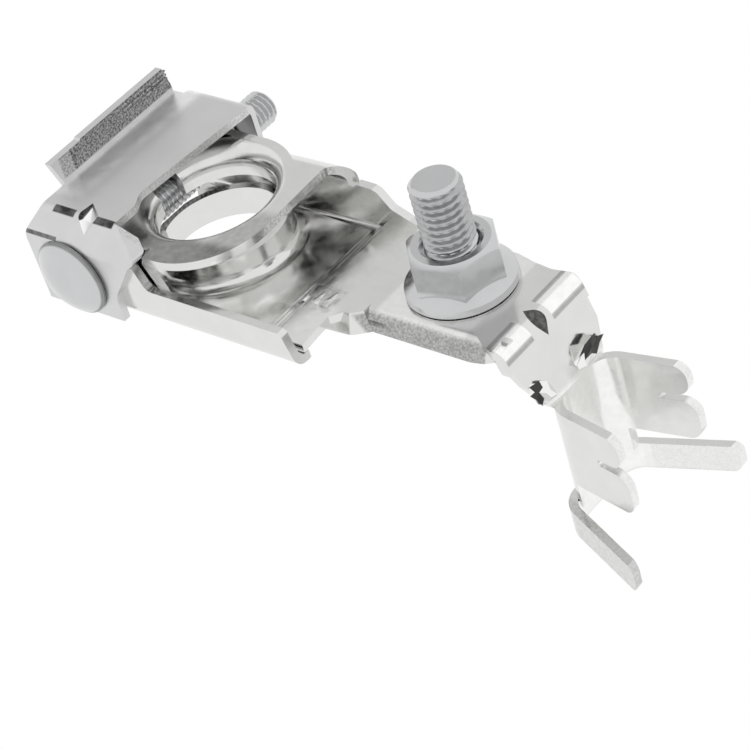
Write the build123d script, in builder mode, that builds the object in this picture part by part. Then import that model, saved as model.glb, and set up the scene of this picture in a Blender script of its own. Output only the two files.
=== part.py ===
from build123d import *
import math
import os

os.makedirs("parts", exist_ok=True)

# ---------------------------------------------------------------- driving dimensions (mm)
# Frame: X along the arm from clamp end to cable end, Y along the cross bolt, Z up.
# The battery post axis is X = Y = 0 and the underside of the lower plate is Z = 0.
sheet = 1.4  # body sheet thickness
bend_outer = 2.2  # outside radius of the sharp folds

post_r = 9.5  # bore of the lower collar
lower_collar_z = 5.3  # mean height of the lower collar rim
lower_collar_tilt = 4.0  # degrees, rim higher towards the arm
collar_fillet = 2.2  # between the lower plate and its collar
split_angle = 212.0  # direction of the slit that lets the ring close
split_w = 2.4

wall_front_y = -18.3  # outer face of the front wall
clamp_width = 31.7  # over the outer faces of both walls
plate_left_x = -19.0
plate_len = 48.1
front_wall_z = 6.3
back_ear_z = 12.3
back_wall_z = 8.6  # where the back wall bends over into the upper plate

upper_z = 11.9  # top of the upper plate above the post axis
upper_pitch = 2.2  # degrees, upper plate rises towards the back
upper_roll = 2.0  # degrees, upper plate rises towards the arm
upper_right_x = 15.1
upper_bend = 3.6  # outside radius where the back wall turns into the upper plate
upper_corner = 12.5  # radius of the free corner of the upper plate
upper_front_gap = 1.7  # free edge of the upper plate to the outer face of the front wall
upper_left_in = 2.0  # the same edge at the back ear
inner_ear_gap = 2.2  # outer face of the inner ear to the outer face of the front wall
upper_collar_depth = 4.8
upper_collar_wall = 1.2
upper_bore_r = 9.7
dish_r = 3.2  # roll of the upper plate into its collar

step_in = 8.9  # start of the step up to the arm, in from the right end of the plates
step_run = 2.6
wall_rise_in = 4.2  # high part of the back wall, short of the top of the step
arm_z = 3.0  # top of the arm plate
arm_len = 35.5  # from the top of the step to the strip bend
arm_w = 20.4
arm_flange_r = 2.9  # outside radius of the arm's front flange
strip_run = 4.0  # how far the strip leans out
strip_drop = 11.0  # height of the leaning strip

barrel_w = 13.8
barrel_inner_r = 3.6
wing_len = 13.7
wing_h = 13.7
wing_slot_down = 6.1  # slot centre below the top of the wings
wing_slot_w = 1.2
wing_slot_len = 5.7
wing_slope = 0.172  # how far the wings spread per mm of length
lobe_round = 2.4
finger_gap = 4.0  # between the wings and the fingers
finger_h = 4.8
finger_len = 16.2
finger_slope_front = 0.42
finger_slope_back = 0.356
finger_out_front = 1.3  # finger root outside the wing root
finger_out_back = 0.5

saddle_sheet = 1.3
saddle_top_z = 15.0
saddle_crease_in = 4.6  # crease behind the outer face of the front flange
saddle_shoulder_z = 12.4  # lower edge of the sloping band
saddle_crease_r = 2.0
saddle_shoulder_r = 2.0
saddle_gap = 0.0  # saddle face to body face
saddle_left_x = -20.7
saddle_flange_z = 19.6
ear_z = saddle_shoulder_z - saddle_shoulder_r  # the front ear stops where the saddle starts to bend

bolt_x = -13.6
bolt_z = 6.1
bolt_r = 3.0
bolt_hole_r = 3.4
bolt_tail = 13.6  # bolt end beyond the back wall
head_r = 6.6
head_h = 3.2
head_rim = 0.6
clamp_nut_af = 10.0
clamp_nut_h = 2.6
nut_bore_gap = 0.06  # running clearance of a nut on its thread crest
nut_side_gap = 0.3  # clamp nut to the faces beside it
nut_seat_gap = 0.1  # stud nut to the arm plate

stud_to_bend = 15.0  # stud axis before the strip bend
stud_offset = 1.3  # stud axis behind the middle of the arm
stud_r = 4.0
stud_hole_gap = 0.15
stud_free = 19.1  # stud above the arm plate
stud_point = 0.9
stud_head_r = 6.5
stud_head_h = 2.0
nut_af = 13.0
nut_h = 8.0
nut_turn = 14.0  # degrees
nut_flange_r = 8.6
nut_flange_h = 1.3
nut_corner_cut = 1.0
nut_mouth = 0.9  # widening of the nut's bore at its top

dart_len = 5.1  # valley across the strip bend
dart_depth = 1.2
dart_open = 1.05  # half width of a valley per mm of depth
pit_across = 2.1
pit_len = 5.8
pit_depth = 0.9
pit_sink = 1.65  # middle of the pit below the top of the saddle
pit_offset = 2.2  # middle of the pit to the right of the clamp bolt
pit_back_across = 4.4  # width of the lump the pit raises behind the sheet

# ---------------------------------------------------------------- sizes that follow
wall_back_y = wall_front_y + clamp_width
plate_right_x = plate_left_x + plate_len
step_x = plate_right_x - step_in
arm_front_y = wall_back_y - arm_w
arm_bend_x = step_x + step_run + arm_len
drop_x = arm_bend_x + strip_run  # inner face of the crimp barrel back
drop_z = arm_z - strip_drop
barrel_mid_y = arm_front_y + arm_w / 2
wing_top_z = drop_z - 0.1
wing_slot_z = wing_top_z - wing_slot_down
wing_bottom_z = wing_top_z - wing_h
wing_tip_x = drop_x + wing_len
finger_top_z = wing_bottom_z - finger_gap
finger_bottom_z = finger_top_z - finger_h
finger_tip_x = drop_x + finger_len
stud_x = arm_bend_x - stud_to_bend
stud_y = barrel_mid_y + stud_offset
stud_top_z = arm_z + stud_free
bolt_end_y = wall_back_y + bolt_tail
saddle_front_y = wall_front_y - saddle_gap - saddle_sheet  # outer face of the front flange
nut_space = clamp_nut_h + 2 * nut_side_gap
saddle_back_in_y = wall_back_y + nut_space
saddle_back_y = saddle_back_in_y + saddle_sheet


# ---------------------------------------------------------------- helpers
def prism(plane, points, amount, rounds):
    """Solid with the outline POINTS on PLANE; ROUNDS holds (corner number, radius) pairs."""
    with BuildPart() as made:
        with BuildSketch(plane) as drawn:
            with BuildLine():
                Polyline(*points, close=True)
            make_face()
            for corner, radius in rounds:
                near = drawn.vertices().sort_by_distance(points[corner])[0]
                fillet(near, radius)
        extrude(amount=amount)
    return made.part


def prism_xz(points, y0, y1, rounds=()):
    """Solid with the outline POINTS (x, z) between two Y values."""
    return prism(Plane.XZ.offset(-y1), points, y1 - y0, rounds)


def prism_yz(points, x0, x1, rounds=()):
    """Solid with the outline POINTS (y, z) between two X values."""
    return prism(Plane.YZ.offset(x0), points, x1 - x0, rounds)


def prism_xy(points, z0, z1, rounds=()):
    """Solid with the outline POINTS (x, y) between two heights."""
    return prism(Plane.XY.offset(z0), points, z1 - z0, rounds)


def vee(across, depth, long):
    """Triangular bar along local X, point down at the origin, opening upwards."""
    return prism_yz([(0, 0), (across / 2, depth), (-across / 2, depth)], -long / 2, long / 2)


def pyramid(across, long, depth, grow):
    """Four-sided pyramid, point down at the origin and LONG along local X, GROW times as tall."""
    reach = across * long / math.hypot(across, long)
    turn = math.degrees(math.atan2(across, long))
    bar = vee(reach * grow, depth * grow, 4 * long * grow)
    return (Location((0, 0, 0), (0, 0, turn)) * bar) & (Location((0, 0, 0), (0, 0, -turn)) * bar)


def ridge(x, z, y0, y1, r0, r1):
    """Wrinkle along Y that fades from radius R0 to R1."""
    return Location((x, (y0 + y1) / 2, z), (-90, 0, 0)) * Cone(r0, r1, y1 - y0)


def folded(plane, points, radii, thick, side, length):
    """Folded sheet: the path POINTS with one radius per inner corner, thickened to one side."""
    with BuildPart() as made:
        with BuildSketch(plane):
            with BuildLine() as path:
                FilletPolyline(*points, radius=radii)
                offset(amount=thick, side=side)
            make_face()
        extrude(amount=length)
    return made.part


def rod_y(x, z, r, y0, y1):
    """Round bar along Y."""
    with BuildPart() as made:
        with BuildSketch(Plane.XZ.offset(-y1)):
            with Locations((x, z)):
                Circle(r)
        extrude(amount=y1 - y0)
    return made.part


def rod_z(x, y, r, z0, z1):
    """Round bar along Z."""
    with BuildPart() as made:
        with BuildSketch(Plane.XY.offset(z0)):
            with Locations((x, y)):
                Circle(r)
        extrude(amount=z1 - z0)
    return made.part


# ---------------------------------------------------------------- terminal body: lower sheet
strip_end_z = finger_bottom_z
front_out = wall_front_y
back_out = wall_back_y
step_top_x = step_x + step_run
spine = folded(
    Plane.XZ.offset(-back_out),
    [
        (plate_left_x, sheet),
        (step_x, sheet),
        (step_top_x, arm_z),
        (arm_bend_x, arm_z),
        (drop_x, drop_z),
        (drop_x, strip_end_z),
    ],
    [1.6, 2.0, 2.4, 2.4],
    sheet,
    Side.RIGHT,
    back_out - front_out,
)
fold_y = arm_front_y + arm_flange_r
ear_x = stud_x + stud_r  # the back edge of the arm waves beyond the stud
plan = prism_xy(
    [
        (plate_left_x, front_out + bend_outer),
        (plate_right_x, front_out + bend_outer),
        (plate_right_x - 0.4, arm_front_y - 5.2),
        (plate_right_x - 0.5, arm_front_y - 2.4),
        (plate_right_x + 1.0, arm_front_y - 0.8),
        (plate_right_x + 4.2, fold_y),
        (arm_bend_x - 6.3, fold_y),
        (arm_bend_x - 3.3, fold_y - 2.0),
        (arm_bend_x - 0.7, arm_front_y),
        (drop_x - 0.3, arm_front_y),
        (drop_x - 0.3, back_out - 1.2),
        (arm_bend_x - 0.7, back_out - 0.7),
        (ear_x + 6.7, back_out - 1.3),
        (ear_x + 3.3, back_out - 0.9),
        (ear_x - 0.3, back_out - 0.1),
        (step_top_x + 11.2, back_out - 0.1),
        (step_top_x + 11.2, back_out - bend_outer),
        (plate_left_x, back_out - bend_outer),
    ],
    -0.5,
    arm_z + 0.5,
    [(2, 1.5), (4, 1.2), (6, 3.0), (7, 3.0), (11, 2.0), (12, 3.0), (13, 3.0), (14, 3.0)],
)
bm = barrel_mid_y
half = barrel_w / 2
flat_half = half - barrel_inner_r  # half the strip's width between the wing roots
strip_side = [
    (half + 1.8, drop_z + 4.4),
    (half + 0.5, drop_z + 1.6),
    (half - 0.6, wing_top_z - 0.4),
    (half - 2.0, wing_top_z - 1.6),
    (flat_half, wing_top_z - 3.4),
]
strip = prism_yz(
    [(arm_front_y, arm_z - sheet)]
    + [(bm - out, z) for out, z in strip_side]
    + [(bm - flat_half, strip_end_z - 1), (bm + flat_half, strip_end_z - 1)]
    + [(bm + out, z) for out, z in reversed(strip_side)]
    + [(back_out - 1.2, arm_z - sheet)],
    arm_bend_x - 1.3,
    drop_x + sheet,
)
lower = spine & (plan + strip)

# ---------------------------------------------------------------- front wall with its ear
front_wall = folded(
    Plane.YZ.offset(plate_left_x),
    [(front_out + bend_outer + 1.0, 0), (front_out, 0), (front_out, ear_z)],
    bend_outer,
    sheet,
    Side.RIGHT,
    plate_right_x - plate_left_x,
)
front_outline = prism_xz(
    [
        (plate_left_x, -1),
        (plate_right_x, -1),
        (plate_right_x - 0.1, sheet),
        (plate_right_x - 1.5, front_wall_z),
        (0.8, front_wall_z),
        (-1.0, ear_z + 0.1),
        (plate_left_x, ear_z + 0.1),
    ],
    front_out - 1,
    front_out + 6,
    [(3, 0.9), (4, 1.5)],
)
front_wall = front_wall & front_outline

# ---------------------------------------------------------------- back wall, falling away along the arm
back_wall = folded(
    Plane.YZ.offset(plate_left_x),
    [(back_out - bend_outer - 1.0, 0), (back_out, 0), (back_out, back_ear_z)],
    bend_outer,
    sheet,
    Side.LEFT,
    step_top_x + 11.7 - plate_left_x,
)
wall_rise_x = step_top_x - wall_rise_in
back_outline = prism_xz(
    [
        (plate_left_x, -1),
        (step_x, -1),
        (step_top_x, arm_z - sheet),
        (step_top_x + 11.7, arm_z - sheet),
        (step_top_x + 11.7, arm_z),
        (step_top_x + 9.2, arm_z + 0.3),
        (step_top_x + 4.9, arm_z + 1.7),
        (step_top_x + 1.8, arm_z + 3.0),
        (wall_rise_x + 4.0, back_wall_z),
        (wall_rise_x + 3.0, back_wall_z + 0.4),
        (wall_rise_x, back_wall_z + 0.5),
        (wall_rise_x - 0.4, back_wall_z),
        (0.6, back_wall_z),
        (0.6, back_ear_z),
        (plate_left_x, back_ear_z),
    ],
    back_out - 6,
    back_out + 1,
    [(5, 4.0), (6, 4.0), (7, 1.5), (8, 0.8), (9, 0.8)],
)
back_wall = back_wall & back_outline
arm_back_edge = prism_xz(
    [
        (step_top_x, arm_z - sheet),
        (step_top_x + 11.7, arm_z - sheet),
        (step_top_x + 11.7, arm_z),
        (step_top_x, arm_z),
    ],
    back_out - bend_outer - 0.5,
    back_out - 0.2,
)

# ---------------------------------------------------------------- arm front flange, folded down
flange_left_x = plate_right_x - 0.9
flange_right_x = arm_bend_x - 0.3
arm_flange = folded(
    Plane.YZ.offset(flange_left_x),
    [(fold_y + 1.0, arm_z), (arm_front_y, arm_z), (arm_front_y, -1.0)],
    arm_flange_r,
    sheet,
    Side.LEFT,
    flange_right_x - flange_left_x,
)
arm_flange_outline = prism_xz(
    [
        (flange_left_x, 0),
        (flange_right_x - 5.6, 0),
        (flange_right_x - 3.0, 0.5),
        (flange_right_x, arm_z - sheet),
        (flange_right_x, arm_z + 1),
        (flange_left_x, arm_z + 1),
    ],
    arm_front_y - 1,
    fold_y + 2,
    [(1, 3.0), (2, 3.0)],
)
arm_flange = arm_flange & arm_flange_outline
# rounded corner that carries the flange down on to the lower plate, with its wrinkles
with BuildPart() as foot:
    with BuildSketch(Plane.XY) as foot_plan:
        with BuildLine():
            Polyline(
                (step_x, fold_y + 1.4),
                (step_x + 0.4, arm_front_y - 0.2),
                (step_top_x + 3.4, arm_front_y - 2.2),
                (plate_right_x + 2.6, arm_front_y - 1.9),
                (plate_right_x + 5.2, arm_front_y),
                (plate_right_x + 5.2, fold_y + 1.4),
                close=True,
            )
        make_face()
        for corner in ((step_top_x + 3.4, arm_front_y - 2.2), (plate_right_x + 2.6, arm_front_y - 1.9)):
            fillet(foot_plan.vertices().sort_by_distance(corner)[0], 2.5)
    extrude(amount=arm_z, taper=24)
foot_part = foot.part
for wrinkle_x, wrinkle_z in ((step_top_x - 0.6, 2.2), (step_top_x + 1.6, 2.5), (step_top_x + 3.6, 2.6)):
    foot_part = foot_part + ridge(wrinkle_x, wrinkle_z, arm_front_y - 0.9, fold_y + 0.2, 0.95, 0.35)
foot_cut = prism_xz(
    [
        (step_x - 1, sheet),
        (step_x, sheet),
        (step_top_x, arm_z + 0.35),
        (plate_right_x + 9, arm_z + 0.35),
        (plate_right_x + 9, arm_z + 3),
        (step_x - 1, arm_z + 3),
    ],
    arm_front_y - 4,
    fold_y + 4,
)
foot_part = foot_part - foot_cut

# ---------------------------------------------------------------- lower collar
collar_out = post_r + sheet
fillet_mid = collar_fillet * (1 - math.sqrt(0.5))
with BuildPart() as collar:
    with BuildSketch(Plane.XZ):
        with BuildLine():
            Polyline((collar_out, lower_collar_z + 2.5), (post_r, lower_collar_z + 2.5), (post_r, 0))
            Polyline((post_r, 0), (collar_out + collar_fillet, 0), (collar_out + collar_fillet, sheet))
            ThreePointArc(
                (collar_out + collar_fillet, sheet),
                (collar_out + fillet_mid, sheet + fillet_mid),
                (collar_out, sheet + collar_fillet),
            )
            Line((collar_out, sheet + collar_fillet), (collar_out, lower_collar_z + 2.5))
        make_face()
    revolve(axis=Axis.Z)
rim_rise = math.tan(math.radians(lower_collar_tilt))
rim_cut = prism_xz(
    [
        (-20, lower_collar_z - 20 * rim_rise),
        (20, lower_collar_z + 20 * rim_rise),
        (20, 20),
        (-20, 20),
    ],
    -20,
    20,
)
collar_part = collar.part - rim_cut

# ---------------------------------------------------------------- upper plate, in a frame levelled about X only
pitch = math.tan(math.radians(upper_pitch))
edge_front_y = front_out + upper_front_gap
ear_out_y = front_out + inner_ear_gap
plate_back_z = upper_z + back_out * pitch
wing_x = upper_right_x + 3.2  # the bend reaches further along the back wall than the plate
upper = folded(
    Plane.YZ.offset(plate_left_x),
    [(back_out, back_wall_z - 2.6), (back_out, plate_back_z), (edge_front_y, upper_z + edge_front_y * pitch)],
    upper_bend,
    sheet,
    Side.LEFT,
    wing_x - plate_left_x,
)
upper_plan = prism_xy(
    [
        (plate_left_x, back_out - 2.1),
        (0.6, back_out - 2.1),
        (0.6, back_out + 1),
        (wing_x, back_out + 1),
        (wing_x - 0.3, back_out - 0.2),
        (upper_right_x, back_out - upper_bend),
        (upper_right_x, edge_front_y),
        (0.2, edge_front_y),
        (0.2, ear_out_y + 1.8),
        (plate_left_x, ear_out_y + 1.8),
    ],
    4,
    20,
    [(4, 1.5), (5, 2.0), (6, upper_corner)],
)
upper = upper & upper_plan
ear_bend_z = upper_z + ear_out_y * pitch
inner_ear = folded(
    Plane.YZ.offset(plate_left_x),
    [(ear_out_y + 3.4, ear_bend_z + 3.4 * pitch), (ear_out_y, ear_bend_z), (ear_out_y, 2.6)],
    bend_outer,
    sheet,
    Side.LEFT,
    1.4 - plate_left_x,
)
inner_ear_outline = prism_xz(
    [
        (plate_left_x, 2),
        (1.4, 2),
        (1.2, 4.4),
        (-1.0, 9.4),
        (0.4, 14),
        (plate_left_x, 14),
    ],
    ear_out_y - 1,
    ear_out_y + 5,
)
inner_ear = inner_ear & inner_ear_outline

ub = upper_bore_r
roll_mid = dish_r * (1 - math.sqrt(0.5))
under_r = dish_r - sheet
under_mid = under_r * (1 - math.sqrt(0.5))
with BuildPart() as dish:
    with BuildSketch(Plane.XZ):
        with BuildLine():
            Polyline((ub + dish_r, 0), (ub + dish_r + 0.4, 0), (ub + dish_r + 0.4, -sheet))
            Line((ub + dish_r + 0.4, -sheet), (ub + upper_collar_wall + under_r, -sheet))
            ThreePointArc(
                (ub + upper_collar_wall + under_r, -sheet),
                (ub + upper_collar_wall + under_mid, -sheet - under_mid),
                (ub + upper_collar_wall, -dish_r),
            )
            Polyline(
                (ub + upper_collar_wall, -dish_r),
                (ub + upper_collar_wall, -upper_collar_depth),
                (ub, -upper_collar_depth),
                (ub, -dish_r),
            )
            ThreePointArc((ub, -dish_r), (ub + roll_mid, -roll_mid), (ub + dish_r, 0))
        make_face()
    revolve(axis=Axis.Z)
tilted = Location((0, 0, upper_z), (upper_pitch, 0, 0))
dish_part = tilted * dish.part
dish_bore = tilted * rod_z(0, 0, ub + dish_r + 0.2, -8, 3)
upper = (upper - dish_bore) + dish_part + inner_ear
upper_slit = prism_xy([(-30, -2.6), (-7, -2.6), (-7, 2.6), (-30, 2.6)], 6, 20)
upper = upper - upper_slit
roll = Location((0, 0, upper_z)) * Location((0, 0, 0), (0, -upper_roll, 0)) * Location((0, 0, -upper_z))
upper = roll * upper

# ---------------------------------------------------------------- crimp barrel
over = 4.0  # the folded blank runs past the tips before they are cut to shape


def barrel(tip_x, front, back, slope_front, slope_back, z0, z1):
    """Open U of sheet seen from above, standing between two heights, rooted at two Y values."""
    run = tip_x + over - (drop_x - sheet)
    return folded(
        Plane.XY.offset(z0),
        [
            (tip_x + over, front - slope_front * run),
            (drop_x - sheet, front),
            (drop_x - sheet, back),
            (tip_x + over, back + slope_back * run),
        ],
        barrel_inner_r + sheet,
        sheet,
        Side.RIGHT,
        z1 - z0,
    )


wings = barrel(wing_tip_x, bm - half, bm + half, wing_slope, wing_slope, wing_bottom_z, wing_top_z)
slot_x = wing_tip_x - wing_slot_len
slot_top_z = wing_slot_z + wing_slot_w / 2
slot_low_z = wing_slot_z - wing_slot_w / 2
slot_round = wing_slot_w * 0.4
lobes = prism_xz(
    [
        (drop_x - 3, wing_top_z + 0.1),
        (wing_tip_x - 0.6, wing_top_z + 0.1),
        (wing_tip_x - 0.6, slot_top_z),
        (slot_x, slot_top_z),
        (slot_x, slot_low_z),
        (wing_tip_x, slot_low_z),
        (wing_tip_x, wing_bottom_z - 0.1),
        (drop_x - 3, wing_bottom_z - 0.1),
    ],
    bm - half - 8,
    bm + half + 8,
    [(1, lobe_round), (2, lobe_round), (3, slot_round), (4, slot_round), (5, lobe_round), (6, lobe_round)],
)
wings = wings & lobes
finger_front = bm - half - finger_out_front
finger_back = bm + half + finger_out_back
fingers = barrel(
    finger_tip_x,
    finger_front,
    finger_back,
    finger_slope_front,
    finger_slope_back,
    finger_bottom_z,
    finger_top_z,
)
tips = prism_xz(
    [
        (drop_x - 3, finger_top_z + 0.1),
        (finger_tip_x, finger_top_z + 0.1),
        (finger_tip_x, finger_bottom_z - 0.1),
        (drop_x - 3, finger_bottom_z - 0.1),
    ],
    bm - half - 14,
    bm + half + 14,
    [(1, 1.6), (2, 1.6)],
)
fingers = fingers & tips
neck_x = drop_x + 1.8
neck = barrel(wing_tip_x, bm - half, bm + half, wing_slope, wing_slope, finger_top_z - 0.5, wing_bottom_z + 0.5)
neck = neck & prism_xz(
    [
        (drop_x - 3, wing_bottom_z + 1),
        (neck_x, wing_bottom_z + 1),
        (neck_x, finger_top_z - 1),
        (drop_x - 3, finger_top_z - 1),
    ],
    bm - half - 1,
    bm + half + 1,
)

# ---------------------------------------------------------------- join the body and cut its holes
left_gap = prism_xy(
    [
        (plate_left_x - 10, front_out + 4.7),
        (-post_r + 1.5, front_out + 4.7),
        (-post_r + 1.5, back_out - 5.4),
        (bolt_x, back_out - 5.4),
        (bolt_x - 2.4, back_out - 2.8),
        (plate_left_x - 10, back_out - 2.8),
    ],
    -1,
    sheet + 2,
    [(3, 1.5), (4, 1.5)],
)
ring_keep = rod_z(0, 0, collar_out + collar_fillet, -2, sheet + 3)
lower = lower - (left_gap - ring_keep)
body = lower + front_wall + back_wall + arm_back_edge + arm_flange + foot_part + wings + neck + fingers
body = body - rod_z(0, 0, post_r + 0.5, -2, 20)
body = body + collar_part
split = Location((0, 0, 0), (0, 0, split_angle)) * prism_xy(
    [
        (post_r - 2, -split_w / 2),
        (post_r + 5, -split_w / 2),
        (post_r + 5, split_w / 2),
        (post_r - 2, split_w / 2),
    ],
    -1,
    8,
)
body = body - split
body = body + upper
body = body - rod_y(bolt_x, bolt_z, bolt_hole_r, front_out - 2, back_out + 2)
stud_hole = rod_z(stud_x, stud_y, stud_r + stud_hole_gap, 0, arm_z + 1)
body = body - stud_hole


dart_turn = math.degrees(math.atan2(strip_drop, strip_run)) - 30
dart_at = Location((arm_bend_x - 0.7, bm - 0.6, arm_z - 1.65), (0, dart_turn, 0))
backing = sheet + 0.1
bulge = dart_at * Location((0, 0, -backing)) * vee(2 * backing * dart_open, backing, dart_len)
valley = dart_at * vee(6 * dart_depth * dart_open, 3 * dart_depth, dart_len + 8)
body = body + bulge - valley
with BuildPart() as terminal_body:
    add(body)
terminal_body.part.label = "terminal_body"
export_step(terminal_body.part, "parts/terminal_body.step")

# ---------------------------------------------------------------- clamp saddle
fy = saddle_front_y
by = saddle_back_y
crease_y = fy + saddle_crease_in
fold_left_x = saddle_left_x - 6
with BuildPart() as saddle_fold:
    with BuildSketch(Plane.YZ.offset(fold_left_x)):
        with BuildLine():
            FilletPolyline(
                (fy, -0.4),
                (fy, saddle_shoulder_z),
                (crease_y, saddle_top_z),
                (0, saddle_top_z),
                radius=[saddle_shoulder_r, saddle_crease_r],
            )
            offset(amount=saddle_sheet, side=Side.RIGHT)
        make_face()
        with BuildLine():
            FilletPolyline((-1, saddle_top_z), (by, saddle_top_z), (by, 0.6), radius=2.0)
            offset(amount=saddle_sheet, side=Side.RIGHT)
        make_face()
    extrude(amount=4 - fold_left_x)
saddle_plan = prism_xy(
    [
        (saddle_left_x, crease_y),
        (-5.4, crease_y),
        (-5.4, crease_y + 4.7),
        (-6.9, crease_y + 7.5),
        (-5.0, by - 2.2),
        (-6.0, by + 1),
        (-18.2, by + 1),
        (-18.2, by - 2.2),
        (saddle_left_x, by - 2.2),
    ],
    -1,
    20,
    [(3, 3.0)],
)
saddle_front = prism_xz(
    [
        (saddle_left_x, saddle_top_z + 0.1),
        (saddle_left_x - 1.0, saddle_shoulder_z),
        (saddle_left_x - 0.7, -0.3),
        (-5.3, -0.5),
        (-5.2, 4.3),
        (-0.1, saddle_shoulder_z - 1.3),
        (1.8, saddle_shoulder_z + 0.1),
        (-5.4, saddle_top_z + 0.1),
    ],
    fy - 1,
    crease_y,
    [(1, 1.0), (4, 3.0), (6, 0.5)],
)
saddle_left = prism_yz(
    [
        (crease_y + 5.3, saddle_top_z - saddle_sheet),
        (by - 2.2, saddle_top_z - saddle_sheet),
        (by - 2.2, saddle_top_z + 1.0),
        (by - 3.0, saddle_flange_z),
        (crease_y + 10.6, saddle_flange_z),
        (crease_y + 10.2, saddle_flange_z - 0.25),
        (crease_y + 3.6, saddle_flange_z - 0.25),
    ],
    saddle_left_x - saddle_sheet,
    saddle_left_x,
)
slope = math.degrees(math.atan2(saddle_top_z - saddle_shoulder_z, saddle_crease_in))
pit_x = bolt_x + pit_offset
pit_turn = Location((0, 0, 0), (0, slope / 2, 0))
pit_at = Location((pit_x, crease_y + 0.3, saddle_top_z - pit_sink), (0, 0, -66)) * pit_turn
pit = pit_at * pyramid(pit_across, pit_len, pit_depth, 3)
pit_back_at = pit_at * Location((0, 0, -saddle_sheet))
pit_back = pit_back_at * pyramid(pit_back_across, pit_len + 1, pit_depth + saddle_sheet - 0.1, 1)
with BuildPart() as clamp_saddle:
    add(saddle_fold.part & (saddle_plan + saddle_front))
    add(saddle_left)
    add(pit_back)
    add(pit, mode=Mode.SUBTRACT)
    add(rod_y(bolt_x, bolt_z, bolt_hole_r, fy - 1, by + 1), mode=Mode.SUBTRACT)
clamp_saddle.part.label = "clamp_saddle"
export_step(clamp_saddle.part, "parts/clamp_saddle.step")

# ---------------------------------------------------------------- clamp bolt: domed head, plain crest cylinder
dome_r = (head_r**2 + (head_h - head_rim) ** 2) / (2 * (head_h - head_rim))
bolt_axis = Axis((bolt_x, 0, bolt_z), (0, 1, 0))
with BuildPart() as clamp_bolt:
    with BuildSketch(Plane.XY.offset(bolt_z)):
        with BuildLine():
            a = (bolt_x, fy - head_h)
            b = (bolt_x + head_r, fy - head_rim)
            mid_x = head_r * 0.55
            sag = dome_r - math.sqrt(dome_r**2 - mid_x**2)
            ThreePointArc(a, (bolt_x + mid_x, fy - head_h + sag), b)
            Polyline(
                b,
                (bolt_x + head_r, fy),
                (bolt_x + bolt_r, fy),
                (bolt_x + bolt_r, bolt_end_y - 0.8),
                (bolt_x + bolt_r - 0.8, bolt_end_y),
                (bolt_x, bolt_end_y),
                a,
            )
        make_face()
    revolve(axis=bolt_axis)
clamp_bolt.part.label = "clamp_bolt"
export_step(clamp_bolt.part, "parts/clamp_bolt.step")

# ---------------------------------------------------------------- clamp nut behind the back wall
nut_y0 = wall_back_y + nut_side_gap
with BuildPart() as clamp_nut:
    with BuildSketch(Plane.XZ.offset(-nut_y0 - clamp_nut_h)):
        with Locations((bolt_x, bolt_z)):
            RegularPolygon(clamp_nut_af / 2, 6, major_radius=False)
            Circle(bolt_r + nut_bore_gap, mode=Mode.SUBTRACT)
    extrude(amount=clamp_nut_h)
clamp_nut.part.label = "clamp_nut"
export_step(clamp_nut.part, "parts/clamp_nut.step")

# ---------------------------------------------------------------- stud with its hidden head
under_z = arm_z - sheet
with BuildPart() as stud:
    with BuildSketch(Plane.XZ.offset(-stud_y)):
        with BuildLine():
            Polyline(
                (stud_x, under_z - stud_head_h),
                (stud_x + stud_head_r - 0.4, under_z - stud_head_h),
                (stud_x + stud_head_r, under_z - stud_head_h + 0.4),
                (stud_x + stud_head_r, under_z),
                (stud_x + stud_r, under_z),
                (stud_x + stud_r, stud_top_z - stud_point),
                (stud_x + stud_r - stud_point, stud_top_z),
                (stud_x, stud_top_z),
                close=True,
            )
        make_face()
    revolve(axis=Axis((stud_x, stud_y, 0), (0, 0, 1)))
stud.part.label = "stud"
export_step(stud.part, "parts/stud.step")

# ---------------------------------------------------------------- hex flange nut
nz = arm_z + nut_seat_gap
with BuildPart() as stud_nut:
    with BuildSketch(Plane.XY.offset(nz)):
        with Locations((stud_x, stud_y)):
            RegularPolygon(nut_af / 2, 6, major_radius=False, rotation=nut_turn)
    extrude(amount=nut_h)
    with BuildSketch(Plane.XZ.offset(-stud_y)):
        with BuildLine():
            Polyline(
                (stud_x, nz),
                (stud_x + nut_af / 2 + 1.1, nz),
                (stud_x + nut_af / 2 + 1.1, nz + nut_h - nut_corner_cut),
                (stud_x + nut_af / 2 - 0.5, nz + nut_h),
                (stud_x, nz + nut_h),
                close=True,
            )
        make_face()
    revolve(axis=Axis((stud_x, stud_y, 0), (0, 0, 1)), mode=Mode.INTERSECT)
    with BuildSketch(Plane.XZ.offset(-stud_y)):
        with BuildLine():
            Polyline(
                (stud_x, nz),
                (stud_x + nut_flange_r - 0.2, nz),
                (stud_x + nut_flange_r, nz + 0.3),
                (stud_x + nut_flange_r - 0.1, nz + nut_flange_h),
                (stud_x + nut_af / 2 - 0.6, nz + nut_flange_h + 1.5),
                (stud_x, nz + nut_flange_h + 1.5),
                close=True,
            )
        make_face()
    revolve(axis=Axis((stud_x, stud_y, 0), (0, 0, 1)))
    with BuildSketch(Plane.XZ.offset(-stud_y)):
        with BuildLine():
            Polyline(
                (stud_x, nz - 1),
                (stud_x + stud_r + nut_bore_gap, nz - 1),
                (stud_x + stud_r + nut_bore_gap, nz + nut_h - 0.8),
                (stud_x + stud_r + nut_mouth, nz + nut_h),
                (stud_x + stud_r + nut_mouth, nz + nut_h + 1),
                (stud_x, nz + nut_h + 1),
                close=True,
            )
        make_face()
    revolve(axis=Axis((stud_x, stud_y, 0), (0, 0, 1)), mode=Mode.SUBTRACT)
stud_nut.part.label = "stud_nut"
export_step(stud_nut.part, "parts/stud_nut.step")
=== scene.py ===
import math
import random
from collections import namedtuple
from functools import reduce

import bmesh
import bpy
from mathutils import Matrix, Vector


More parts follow.
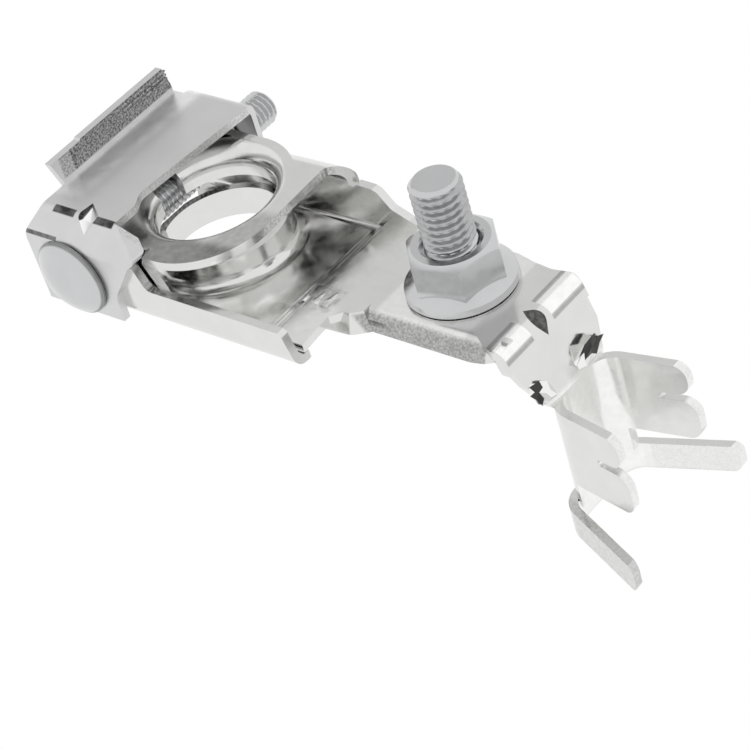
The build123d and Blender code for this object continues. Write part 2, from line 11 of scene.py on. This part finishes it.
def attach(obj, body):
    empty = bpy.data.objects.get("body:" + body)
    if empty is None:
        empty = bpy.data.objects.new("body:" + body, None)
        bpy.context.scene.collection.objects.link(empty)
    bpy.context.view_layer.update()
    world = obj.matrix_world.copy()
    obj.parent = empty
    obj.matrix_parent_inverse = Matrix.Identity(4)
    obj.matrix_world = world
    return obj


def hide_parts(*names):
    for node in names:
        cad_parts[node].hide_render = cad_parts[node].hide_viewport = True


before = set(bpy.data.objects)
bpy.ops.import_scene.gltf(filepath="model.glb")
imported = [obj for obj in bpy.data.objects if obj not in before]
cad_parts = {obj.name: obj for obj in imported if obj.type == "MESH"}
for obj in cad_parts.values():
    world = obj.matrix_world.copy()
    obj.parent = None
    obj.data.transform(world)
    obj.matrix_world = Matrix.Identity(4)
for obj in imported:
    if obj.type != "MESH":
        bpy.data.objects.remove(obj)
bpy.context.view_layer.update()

# Looks of the battery terminal clamp. Coordinates are in mm in the shared frame until MM is applied.
MM = 0.001
FRAME_BODY = "clamp_frame"

# ---------------------------------------------------------------- sizes shared with the solids (mm)
STUD_X, STUD_Y = 43.3, 4.5
STUD_R = 4.0
STUD_TOP_Z = 22.1
STUD_HEAD_R, STUD_HEAD_LOW_Z, STUD_HEAD_TOP_Z = 6.5, -0.4, 1.6
STUD_PITCH = 1.25
BOLT_X, BOLT_Z = -13.6, 6.1
BOLT_R = 3.0
BOLT_END_Y = 27.0
BOLT_SEAT_Y = -19.6
BOLT_HEAD_R, BOLT_HEAD_H = 6.6, 3.2
BOLT_PITCH = 1.0
BOLT_THREAD_START_Y = -7.0

# ---------------------------------------------------------------- sizes of the rods and ribs made here (mm)
THREAD_DEPTH = 0.6  # share of the pitch
THREAD_CREST, THREAD_FLANK = 0.12, 0.72  # shares of half a pitch
GROOVE_LIMIT = 0.92  # share of the tip's chamfer that no groove goes deeper than
ROWS_PER_TURN = 14
STUD_STEPS, BOLT_STEPS, RIB_STEPS = 96, 72, 12  # points round a rod
STUD_HEAD_EDGE = 0.4
STUD_SHANK_END_Z, STUD_THREAD_START_Z = 3.0, 3.4
STUD_CHAMFER, STUD_RUN_IN = 0.75, 1.2
BOLT_RIM_H, BOLT_HEAD_EDGE = 0.6, 0.25
BOLT_SHANK_GAP = 0.3
BOLT_CHAMFER, BOLT_RUN_IN = 0.7, 1.5
DOME_ROWS, DOME_FIRST = 14, 0.15  # the first row is this share of a row away from the middle
RIB_X, RIB_R, RIB_TIP_R = -20.72, 0.26, 0.05
RIB_TAPER, RIB_FULL_Y, RIB_END_Y = 3.0, 15.2, 15.5
RIB_STARTS = ((19.0, 1.0), (18.3, 3.0), (17.6, 5.0))  # z and y
SHARP_ANGLE = math.radians(38)

# ---------------------------------------------------------------- shader nodes
NODE_STEP, NODE_COLUMNS = 200, 12  # grid in the node editor


def node(tree, kind, **settings):
    """New node of KIND with its settings, at the next place of the grid."""
    row, column = divmod(len(tree.nodes), NODE_COLUMNS)
    made = tree.nodes.new(kind)
    made.location = (NODE_STEP * column, -NODE_STEP * row)
    for key, value in settings.items():
        setattr(made, key, value)
    return made


def feed(tree, target, values):
    """Give inputs of the node TARGET, by name or number, a value or another node's output."""
    for key, value in values.items():
        if isinstance(value, bpy.types.NodeSocket):
            tree.links.new(value, target.inputs[key])
        else:
            target.inputs[key].default_value = value


def calc(tree, operation, *terms, clamp=False):
    """Output of a math node."""
    made = node(tree, "ShaderNodeMath", operation=operation, use_clamp=clamp)
    feed(tree, made, dict(enumerate(terms)))
    return made.outputs[0]


def remap(tree, value, source, target, **settings):
    """VALUE taken from the range SOURCE to the range TARGET."""
    made = node(tree, "ShaderNodeMapRange", **settings)
    ends = {"From Min": source[0], "From Max": source[1], "To Min": target[0], "To Max": target[1]}
    feed(tree, made, {"Value": value, **ends})
    return made.outputs[0]


def noise(tree, coords, scale, detail):
    """Noise in the shared frame; SCALE is per metre."""
    made = node(tree, "ShaderNodeTexNoise")
    feed(tree, made, {"Vector": coords.outputs["Object"], "Scale": scale, "Detail": detail})
    return made.outputs["Fac"]


def bump(tree, height, distance, **below):
    """Normal of a bump DISTANCE metres high; Normal=... lays it on top of another one."""
    made = node(tree, "ShaderNodeBump")
    feed(tree, made, {"Strength": 1.0, "Distance": distance, "Height": height, **below})
    return made.outputs[0]


def split(tree, vector):
    """The three outputs of a vector."""
    made = node(tree, "ShaderNodeSeparateXYZ")
    feed(tree, made, {0: vector})
    return made.outputs


# ---------------------------------------------------------------- zones of painted light and shade, and of sheared edges
# The way a face looks, as the number of an axis and a sign.
RIGHT_FACE = (0, 1)
FRONT_FACE = (1, -1)
TOP_FACE = (2, 1)
FACING_START, FACING_FULL = 0.15, 0.40  # part of the normal that lies along the axis

# A box whose tone differs from the plate round it. Most zones paint shade, highlights and reflections into
# the colour;
# those on sheared edges give the edges' own darker tone. LOW and HIGH are its corners and SOFT is how far
# it fades out round them, in mm. DARK is the share of the tone that it takes, or adds where it is negative.
# SPECKLE is how far
# DARK varies, by a noise of SCALE per metre. FACING keeps it to faces that look one way.
Zone = namedtuple("Zone", "low high soft dark speckle scale facing", defaults=(None,))

BEND_SWELLS_Y = ((-6.2, -0.2), (5.0, 12.4))  # the two swells of the strip's bend, beside the dart
# Painted light on each swell: a line of painted shade, a painted highlight, then another line of painted
# shade.
BEND_PAINTED_LIGHT_BANDS = (  # low x, high x, low z, high z, dark
    (55.6, 56.2, 2.6, 3.2, 0.40),
    (56.2, 60.5, 1.5, 3.2, -0.30),
    (58.0, 60.5, 0.9, 1.5, 0.42),
)
BEND_PAINTED_LIGHT_ZONES = tuple(
    Zone((x_low, y_low, z_low), (x_high, y_high, z_high), 0.25, dark, 0.03, 900.0)
    for y_low, y_high in BEND_SWELLS_Y
    for x_low, x_high, z_low, z_high, dark in BEND_PAINTED_LIGHT_BANDS
)
TIN_PAINTED_LIGHT_AND_EDGE_ZONES = BEND_PAINTED_LIGHT_ZONES + (
    # painted shade on the front flange of the arm, mottled
    Zone((28.0, -7.2, -0.4), (55.0, -4.6, 2.4), 0.6, 0.46, 0.13, 2600.0),
    # painted dark reflection on the top of the upper plate's front lip, then on the part of it further
    # right
    Zone((-7.0, -17.5, 10.0), (13.0, -11.5, 12.6), 2.5, 0.56, 0.05, 900.0, TOP_FACE),
    Zone((10.0, -12.0, 10.0), (18.5, -3.0, 12.6), 2.5, 0.30, 0.05, 900.0, TOP_FACE),
    # painted shade on the front finger
    Zone((61.0, -14.0, -31.5), (80.0, -4.5, -25.0), 1.2, 0.14, 0.07, 1900.0),
    # painted shade over the wrinkles of the foot
    Zone((20.0, -8.5, 1.2), (27.5, -4.0, 3.2), 0.8, 0.16, 0.14, 900.0),
    # painted shade on the front-facing side of the arm's dart
    Zone((54.5, 0.3, -1.6), (60.5, 4.6, 3.2), 0.3, 0.86, 0.06, 1500.0, FRONT_FACE),
    # sheared end of the upper plate
    Zone((14.9, -20.0, 8.0), (16.0, 14.0, 13.5), 0.3, 0.14, 0.16, 3200.0, RIGHT_FACE),
    # sheared tips of the wings and fingers
    Zone((66.0, -14.0, -32.0), (80.0, 18.0, -8.3), 0.3, 0.08, 0.05, 3200.0, RIGHT_FACE),
    # painted highlight on the arm round the stud nut
    Zone((35.0, -5.5, 2.8), (50.5, 13.0, 3.2), 1.0, -0.18, 0.03, 900.0, TOP_FACE),
    # painted highlight on the front of the upper collar
    Zone((-8.0, -12.6, 4.5), (12.0, -8.0, 10.4), 0.8, -0.34, 0.03, 900.0, FRONT_FACE),
    # painted highlight on the right part of the lower plate
    Zone((15.0, -16.0, 1.0), (28.5, -8.0, 2.2), 1.5, -0.30, 0.03, 900.0, TOP_FACE),
    # painted highlight inside the crimp barrel
    Zone((62.0, -6.0, -30.0), (80.0, 17.0, -8.0), 1.0, -0.22, 0.03, 900.0, RIGHT_FACE),
)
SHEET_PAINTED_LIGHT_AND_EDGE_ZONES = (
    # painted shade on the inner face of the saddle's left flange, mottled, then less of it at its near end
    Zone((-22.6, -7.0, 15.8), (-20.2, 20.0, 20.5), 0.4, 0.60, 0.26, 3000.0, RIGHT_FACE),
    Zone((-22.6, -9.5, 15.8), (-20.2, -7.0, 20.5), 0.4, 0.34, 0.22, 3000.0, RIGHT_FACE),
    # painted highlight on the top strip beside the flange
    Zone((-20.2, -11.0, 14.7), (-16.5, 17.0, 15.4), 2.2, -0.34, 0.04, 900.0, TOP_FACE),
    # painted shade in the crease left of the dart, then right of it
    Zone((-18.1, -15.7, 14.3), (-13.8, -14.7, 15.1), 0.25, 0.86, 0.08, 900.0),
    Zone((-9.6, -15.7, 14.3), (-5.6, -14.7, 15.1), 0.25, 0.86, 0.08, 900.0),
    # painted shade on the dart's left part, then a painted highlight on its right part
    Zone((-14.6, -18.2, 12.6), (-12.3, -11.0, 15.2), 0.15, 0.93, 0.04, 1500.0, RIGHT_FACE),
    Zone((-12.3, -18.2, 12.6), (-8.8, -11.0, 15.2), 0.15, -0.50, 0.02, 1500.0, RIGHT_FACE),
    # painted shade line at the left end of the second bend
    Zone((-21.9, -19.8, 12.2), (-15.2, -19.0, 12.6), 0.15, 0.75, 0.08, 900.0),
    # sheared right edge
    Zone((-8.0, -16.0, 12.0), (2.0, 16.0, 15.2), 0.2, 0.10, 0.16, 3200.0, RIGHT_FACE),
)
FASTENER_PAINTED_SHADE_ZONES = (
    # painted shade on the front facets of the stud nut
    Zone((35.0, -5.0, 6.6), (52.0, 14.0, 10.2), 0.9, 0.34, 0.03, 600.0, FRONT_FACE),
    # painted shade on the thread of the stud
    Zone((38.9, 0.1, 11.6), (47.7, 8.9, 21.3), 0.3, 0.24, 0.05, 900.0),
    # painted shade on the rim of the clamp bolt's head
    Zone((-21.0, -20.4, -1.0), (-6.0, -19.4, 13.2), 0.25, 0.55, 0.04, 900.0),
)


def zone_mask(tree, coords, zone):
    """1 in the zone's box and on the faces it keeps to, 0 away from them."""
    masks = []
    for along, low, high in zip(split(tree, coords.outputs["Object"]), zone.low, zone.high):
        middle = (low + high) / 2
        reach = (high - low) / 2
        away = calc(tree, "ABSOLUTE", calc(tree, "SUBTRACT", along, middle * MM))
        edge = (reach * MM, (reach + zone.soft) * MM)
        masks.append(remap(tree, away, edge, (1.0, 0.0), interpolation_type="SMOOTHSTEP"))
    if zone.facing is not None:
        axis, sign = zone.facing
        looks = split(tree, coords.outputs["Normal"])[axis]
        masks.append(remap(tree, looks, (FACING_START * sign, FACING_FULL * sign), (0.0, 1.0)))
    return reduce(lambda mask, other: calc(tree, "MULTIPLY", mask, other), masks)


# ---------------------------------------------------------------- materials
# Each noise is a scale per metre and a detail.
CLOUD_NOISE, ROUGH_NOISE = (220.0, 4.0), (500.0, 6.0)
WAVE_NOISE, GRAIN_NOISE = (120.0, 1.0), (2600.0, 3.0)
SPECKLE_DETAIL = 3.0
CLOUD_LOW, CLOUD_HIGH = 0.93, 1.05  # shares of the base tone
SPECKLE_SPAN, ROUGH_SPAN = (0.36, 0.64), (0.3, 0.7)  # where the noise starts and stops counting
WARM, NEUTRAL, COOL = (1.0, 1.0, 0.985), (1.0, 1.0, 1.0), (0.985, 0.99, 1.0)
PINCH_ROUGHNESS = (0.06, 0.12)


def plated(name, base, roughness, wave, grain, tint, zones=()):
    """Bright plate of the tone BASE, with broad WAVE and fine GRAIN bumps in metres; ZONES paint shade,
    highlights and reflections, and the darker tone of sheared edges, into its colour.
    """
    mat = bpy.data.materials.new(name)
    mat.use_nodes = True
    tree = mat.node_tree
    tree.nodes.clear()
    coords = node(tree, "ShaderNodeTexCoord")
    clouds = noise(tree, coords, *CLOUD_NOISE)
    tone = remap(tree, clouds, (0.0, 1.0), (base * CLOUD_LOW, base * CLOUD_HIGH))
    for zone in zones:
        spots = noise(tree, coords, zone.scale, SPECKLE_DETAIL)
        spread = (zone.dark - zone.speckle, zone.dark + zone.speckle)
        taken = remap(tree, spots, SPECKLE_SPAN, spread)
        loss = calc(tree, "MULTIPLY", zone_mask(tree, coords, zone), taken)
        tone = calc(tree, "MULTIPLY", tone, calc(tree, "SUBTRACT", 1.0, loss), clamp=True)
    colour = node(tree, "ShaderNodeCombineColor")
    feed(tree, colour, {index: calc(tree, "MULTIPLY", tone, share) for index, share in enumerate(tint)})
    rough = remap(tree, noise(tree, coords, *ROUGH_NOISE), ROUGH_SPAN, roughness)
    broad = bump(tree, noise(tree, coords, *WAVE_NOISE), wave)
    fine = bump(tree, noise(tree, coords, *GRAIN_NOISE), grain, Normal=broad)
    shader = node(tree, "ShaderNodeBsdfPrincipled")
    look = {"Metallic": 1.0, "Base Color": colour.outputs[0], "Roughness": rough, "Normal": fine}
    feed(tree, shader, look)
    feed(tree, node(tree, "ShaderNodeOutputMaterial"), {"Surface": shader.outputs[0]})
    return mat


TIN = plated("tinned_sheet", 0.74, (0.10, 0.24), 0.00016, 0.000004, WARM, TIN_PAINTED_LIGHT_AND_EDGE_ZONES)
SHEET = plated("plated_steel_sheet", 0.66, (0.30, 0.42), 0.00010, 0.000004, NEUTRAL, SHEET_PAINTED_LIGHT_AND_EDGE_ZONES)
FASTENER = plated("plated_fastener", 0.60, (0.16, 0.26), 0.00003, 0.000003, COOL, FASTENER_PAINTED_SHADE_ZONES)
# Near-black and near-white copies of the tin paint shade and highlights on the pinched facets.
PINCH_PAINTED_SHADE = plated("pinched_tin_painted_shade", 0.06, PINCH_ROUGHNESS, 0.00003, 0.000003, WARM)
PINCH_PAINTED_HIGHLIGHT = plated("pinched_tin_painted_highlight", 0.88, PINCH_ROUGHNESS, 0.00003, 0.000003, WARM)

for name, mat in (
    ("terminal_body", TIN),
    ("clamp_saddle", SHEET),
    ("clamp_bolt", FASTENER),
    ("clamp_nut", FASTENER),
    ("stud", FASTENER),
    ("stud_nut", FASTENER),
):
    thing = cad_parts[name]
    if not thing.material_slots:
        thing.data.materials.append(mat)
    for slot in thing.material_slots:
        slot.link = "OBJECT"
        slot.material = mat


# ---------------------------------------------------------------- bodies turned round a line
def linked(name, mesh):
    """Object of MESH, linked to the scene."""
    made = bpy.data.objects.new(name, mesh)
    bpy.context.scene.collection.objects.link(made)
    return made


def along_z(middle_x, middle_y):
    """Place in mm of a point round a line along z."""
    return lambda x, y, height: (middle_x + x, middle_y + y, height)


def along_y(middle_x, middle_z):
    """Place in mm of a point round a line along y; threads stay right-handed."""
    return lambda x, y, height: (middle_x + y, height, middle_z + x)


def turned_mesh(name, rows, steps, place):
    """Closed body of rows, each its radius as a function of the angle, and its height along the line."""
    verts = []
    faces = []
    for radius_at, height in rows:
        for k in range(steps):
            angle = 2 * math.pi * k / steps
            r = radius_at(angle)
            verts.append(place(r * math.cos(angle), r * math.sin(angle), height))
    for i in range(len(rows) - 1):
        low = i * steps
        high = low + steps
        for k in range(steps):
            n = (k + 1) % steps
            faces.append((low + k, low + n, high + n, high + k))
    faces.append(tuple(reversed(range(steps))))
    last = (len(rows) - 1) * steps
    faces.append(tuple(last + k for k in range(steps)))
    mesh = bpy.data.meshes.new(name)
    mesh.from_pydata([Vector(v) * MM for v in verts], [], faces)
    mesh.validate()
    made = linked(name, mesh)
    mesh.polygons.foreach_set("use_smooth", [True] * len(mesh.polygons))
    mesh.set_sharp_from_angle(angle=SHARP_ANGLE)
    return made


def plain(radius):
    """The same radius all round."""
    return lambda angle: radius


# ---------------------------------------------------------------- threaded stud and clamp bolt
def thread_radius(crest, depth, turns, floor, limit):
    """Radius of a right-hand thread, TURNS up the rod, kept between FLOOR and LIMIT."""

    def at(angle):
        phase = (turns - angle / (2 * math.pi)) % 1.0
        saw = abs(2 * phase - 1)
        cut = min(max((saw - THREAD_CREST) / THREAD_FLANK, 0.0), 1.0)
        return min(max(crest - depth * cut, floor), limit)

    return at


def thread_rows(crest, pitch, start, end, chamfer, run_in):
    """Rows of a thread from START to END that deepens over RUN_IN and has a chamfered tip."""
    rows = []
    count = int((end - start) / pitch * ROWS_PER_TURN)
    floor = crest - GROOVE_LIMIT * chamfer
    for i in range(count + 1):
        height = start + (end - start) * i / count
        depth = THREAD_DEPTH * pitch * min(max((height - start) / run_in, 0.0), 1.0)
        limit = crest - max(0.0, chamfer - (end - height))
        rows.append((thread_radius(crest, depth, height / pitch, floor, limit), height))
    return rows


stud_rows = [
    (plain(STUD_HEAD_R - STUD_HEAD_EDGE), STUD_HEAD_LOW_Z),
    (plain(STUD_HEAD_R), STUD_HEAD_LOW_Z + STUD_HEAD_EDGE),
    (plain(STUD_HEAD_R), STUD_HEAD_TOP_Z),
    (plain(STUD_R), STUD_HEAD_TOP_Z),
    (plain(STUD_R), STUD_SHANK_END_Z),
]
stud_rows += thread_rows(STUD_R, STUD_PITCH, STUD_THREAD_START_Z, STUD_TOP_Z, STUD_CHAMFER, STUD_RUN_IN)
stud_thread = turned_mesh("stud_threaded", stud_rows, STUD_STEPS, along_z(STUD_X, STUD_Y))

crown = BOLT_HEAD_H - BOLT_RIM_H
dome_r = (BOLT_HEAD_R**2 + crown**2) / (2 * crown)
dome_angle = math.asin(BOLT_HEAD_R / dome_r)
bolt_rows = []
for i in range(DOME_ROWS):
    angle = dome_angle * (i + DOME_FIRST) / (DOME_ROWS - 1 + DOME_FIRST)
    height = BOLT_SEAT_Y - BOLT_HEAD_H + dome_r * (1 - math.cos(angle))
    bolt_rows.append((plain(dome_r * math.sin(angle)), height))
bolt_rows += [
    (plain(BOLT_HEAD_R), BOLT_SEAT_Y - BOLT_HEAD_EDGE),
    (plain(BOLT_HEAD_R - BOLT_HEAD_EDGE), BOLT_SEAT_Y),
    (plain(BOLT_R), BOLT_SEAT_Y),
    (plain(BOLT_R), BOLT_THREAD_START_Y - BOLT_SHANK_GAP),
]
bolt_rows += thread_rows(BOLT_R, BOLT_PITCH, BOLT_THREAD_START_Y, BOLT_END_Y, BOLT_CHAMFER, BOLT_RUN_IN)
bolt_thread = turned_mesh("clamp_bolt_threaded", bolt_rows, BOLT_STEPS, along_y(BOLT_X, BOLT_Z))

# ---------------------------------------------------------------- pinched corners between strip and wings
PINCH_JITTER = 0.2  # share of the radius
# The wave and limit pick which facets get painted shade; the rest get a painted highlight.
PINCH_SHADE_WAVE, PINCH_SHADE_LIMIT = (2.6, 2.1, 1.9), 0.15  # picks the dark facets


def crumple(name, at, axes, size, seed):
    """Faceted lump pressed out of the sheet at AT, reaching SIZE to both sides along its AXES, in mm; its
    facets carry painted shade and painted highlights.
    """
    rng = random.Random(seed)
    bm = bmesh.new()
    bmesh.ops.create_icosphere(bm, subdivisions=2, radius=1.0)
    for vert in bm.verts:
        vert.co *= 1.0 + rng.uniform(-PINCH_JITTER, PINCH_JITTER)
    # Each facet takes the near-black painted shade or the near-white painted highlight, in waves across the
    # lump.
    for face in bm.faces:
        centre = face.calc_center_median()
        wave = math.sin(sum(rate * part for rate, part in zip(PINCH_SHADE_WAVE, centre)) + seed)
        face.material_index = 0 if wave > PINCH_SHADE_LIMIT else 1
    spread = [Vector(axis).normalized() * (length * MM) for axis, length in zip(axes, size)]
    for vert in bm.verts:
        local = vert.co.copy()
        vert.co = Vector(at) * MM + spread[0] * local.x + spread[1] * local.y + spread[2] * local.z
    bmesh.ops.recalc_face_normals(bm, faces=bm.faces)
    mesh = bpy.data.meshes.new(name)
    bm.to_mesh(mesh)
    bm.free()
    made = linked(name, mesh)
    mesh.materials.append(PINCH_PAINTED_SHADE)
    mesh.materials.append(PINCH_PAINTED_HIGHLIGHT)
    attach(made, FRAME_BODY)


crumple(
    "pinch_back",
    at=(62.0, 6.8, -6.1),
    axes=((0.1, 1.0, 0.35), (0.2, -0.35, 1.0), (1.0, 0.0, 0.2)),
    size=(3.4, 2.1, 0.9),
    seed=5,
)
crumple(
    "pinch_front",
    at=(61.3, -3.4, -5.7),
    axes=((0.2, 0.5, -1.0), (0.1, 1.0, 0.5), (1.0, 0.0, 0.3)),
    size=(2.8, 1.7, 0.8),
    seed=9,
)

# ---------------------------------------------------------------- pressed ribs on the saddle's left flange
for number, (rib_z, start_y) in enumerate(RIB_STARTS, start=1):
    rows = [
        (plain(RIB_TIP_R), start_y),
        (plain(RIB_R), start_y + RIB_TAPER),
        (plain(RIB_R), RIB_FULL_Y),
        (plain(RIB_TIP_R), RIB_END_Y),
    ]
    rib = turned_mesh(f"flange_rib_{number}", rows, RIB_STEPS, along_y(RIB_X, rib_z))
    rib.data.materials.append(SHEET)
    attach(rib, FRAME_BODY)

for made, replaced in ((stud_thread, "stud"), (bolt_thread, "clamp_bolt")):
    made.data.materials.append(FASTENER)
    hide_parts(replaced)
    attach(made, FRAME_BODY)

# ---------------------------------------------------------------- camera, fitted to the photograph's view
CAMERA_AT = (0.28141, -0.22045, 0.24547)
RIGHT = (0.75997, 0.60495, -0.23768)
UP = (-0.24857, 0.60839, 0.75370)
FORWARD = (-0.60055, 0.51371, -0.61273)
SENSOR = 36.0
LENS = 134.775
camera_data = bpy.data.cameras.new("camera")
camera_data.sensor_width = SENSOR
camera_data.lens = LENS
camera_data.clip_start = 0.01
camera_data.clip_end = 10.0
camera = linked("camera", camera_data)
columns = (Vector(RIGHT), Vector(UP), -Vector(FORWARD), Vector(CAMERA_AT))
camera.matrix_world = Matrix([[column[i] for column in columns] for i in range(3)] + [[0, 0, 0, 1]])
bpy.context.scene.camera = camera

# ---------------------------------------------------------------- studio: white surround and one grey card
CARD_AIM = Vector((0.03, 0.0, 0.0))  # middle of the part (m)
SURROUND_SEEN, SURROUND_FILL = 1.0, 0.6  # as camera, reflections and glass see it, then as other light


def card(name, direction, distance, width, height, level):
    """A card of even tone that only reflections see, facing the part from a direction."""
    toward = Vector(direction).normalized()
    mesh = bpy.data.meshes.new(name)
    w = width / 2
    h = height / 2
    mesh.from_pydata([(-w, -h, 0), (w, -h, 0), (w, h, 0), (-w, h, 0)], [], [(0, 1, 2, 3)])
    made = linked(name, mesh)
    made.location = CARD_AIM + toward * distance
    made.rotation_mode = "QUATERNION"
    made.rotation_quaternion = toward.to_track_quat("Z", "Y")
    mat = bpy.data.materials.new(name)
    mat.use_nodes = True
    tree = mat.node_tree
    tree.nodes.clear()
    glow = node(tree, "ShaderNodeEmission")
    feed(tree, glow, {"Color": (level, level, level, 1), "Strength": 1.0})
    feed(tree, node(tree, "ShaderNodeOutputMaterial"), {"Surface": glow.outputs[0]})
    mesh.materials.append(mat)
    made.visible_camera = False
    made.visible_shadow = False
    made.visible_diffuse = False


card("card_back", (-0.60, 0.51, 0.61), 0.9, 0.9, 0.7, 0.78)

world = bpy.data.worlds.new("surround")
bpy.context.scene.world = world
world.use_nodes = True
tree = world.node_tree
tree.nodes.clear()
path = node(tree, "ShaderNodeLightPath")
rays = [path.outputs[f"Is {kind} Ray"] for kind in ("Camera", "Glossy", "Transmission")]
blend = node(tree, "ShaderNodeMixShader")
feed(tree, blend, {0: reduce(lambda seen, ray: calc(tree, "MAXIMUM", seen, ray), rays)})
for index, strength in ((1, SURROUND_FILL), (2, SURROUND_SEEN)):
    surround = node(tree, "ShaderNodeBackground")
    feed(tree, surround, {"Color": (1, 1, 1, 1), "Strength": strength})
    feed(tree, blend, {index: surround.outputs[0]})
feed(tree, node(tree, "ShaderNodeOutputWorld"), {"Surface": blend.outputs[0]})

bpy.context.scene.view_settings.view_transform = "Standard"
